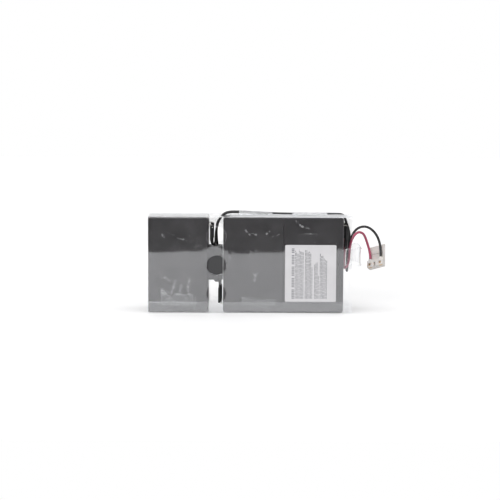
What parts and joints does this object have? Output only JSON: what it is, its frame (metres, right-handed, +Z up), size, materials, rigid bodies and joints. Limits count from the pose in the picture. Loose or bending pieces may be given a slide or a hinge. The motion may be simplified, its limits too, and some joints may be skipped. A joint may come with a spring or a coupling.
{
  "type": "sealed lead-acid battery pack",
  "caption": "Row of sealed lead-acid blocks standing on end in a clear folded sleeve, wired in series to a keyed power plug, for a backup power supply.",
  "frame": {"origin": "centre of the sleeve's underside, on the surface that the pack stands on", "axes": "+X along the row of blocks towards the plug end, +Z up, -Y the labelled front"},
  "size_m": [0.3789, 0.0685, 0.1611],
  "materials": {
    "case_plastic": "moulded, satin",
    "plate_lead": "grey paste and glass mat",
    "strap_lead": "cast lead",
    "valve_rubber": "matte",
    "terminal_metal": "tinned",
    "boot_vinyl": "soft vinyl, satin",
    "clear_film": "clear, glossy",
    "strap_film": "clear, glossy",
    "clear_tape": "clear, wrinkled",
    "spacer_foam": "fine foam, matte",
    "label_paper": "coated",
    "black_insulation": "satin",
    "red_insulation": "satin",
    "plug_nylon": "natural nylon",
    "contact_brass": "plain"
  },
  "bodies": {
    "root": {"clear_sleeve": "clear_film", "connector_contacts": "contact_brass", "connector_housing": "plug_nylon", "far_cable_tape": "clear_tape", "left_cell_straps": "strap_lead", "left_container": "case_plastic", "left_flap_tape": "clear_tape", "left_jumper": "black_insulation", "left_lid": "case_plastic", "left_negative_boot": "boot_vinyl", "left_negative_receptacle": "terminal_metal", "left_negative_tab": "terminal_metal", "left_plate_stacks": "plate_lead", "left_positive_boot": "boot_vinyl", "left_positive_receptacle": "terminal_metal", "left_positive_tab": "terminal_metal", "left_valve_caps": "valve_rubber", "left_vent_cover": "case_plastic", "middle_cell_straps": "strap_lead", "middle_container": "case_plastic", "middle_flap_tape": "clear_tape", "middle_lid": "case_plastic", "middle_negative_boot": "boot_vinyl", "middle_negative_receptacle": "terminal_metal", "middle_negative_tab": "terminal_metal", "middle_plate_stacks": "plate_lead", "middle_positive_boot": "boot_vinyl", "middle_positive_receptacle": "terminal_metal", "middle_positive_tab": "terminal_metal", "middle_valve_caps": "valve_rubber", "middle_vent_cover": "case_plastic", "near_cable_tape": "clear_tape", "negative_lead": "black_insulation", "positive_lead": "red_insulation", "pull_strap": "strap_film", "rating_label": "label_paper", "right_cell_straps": "strap_lead", "right_container": "case_plastic", "right_jumper": "black_insulation", "right_lid": "case_plastic", "right_negative_boot": "boot_vinyl", "right_negative_receptacle": "terminal_metal", "right_negative_tab": "terminal_metal", "right_plate_stacks": "plate_lead", "right_positive_boot": "boot_vinyl", "right_positive_receptacle": "terminal_metal", "right_positive_tab": "terminal_metal", "right_valve_caps": "valve_rubber", "right_vent_cover": "case_plastic", "spacer_block": "spacer_foam"}
  },
  "joints": []
}
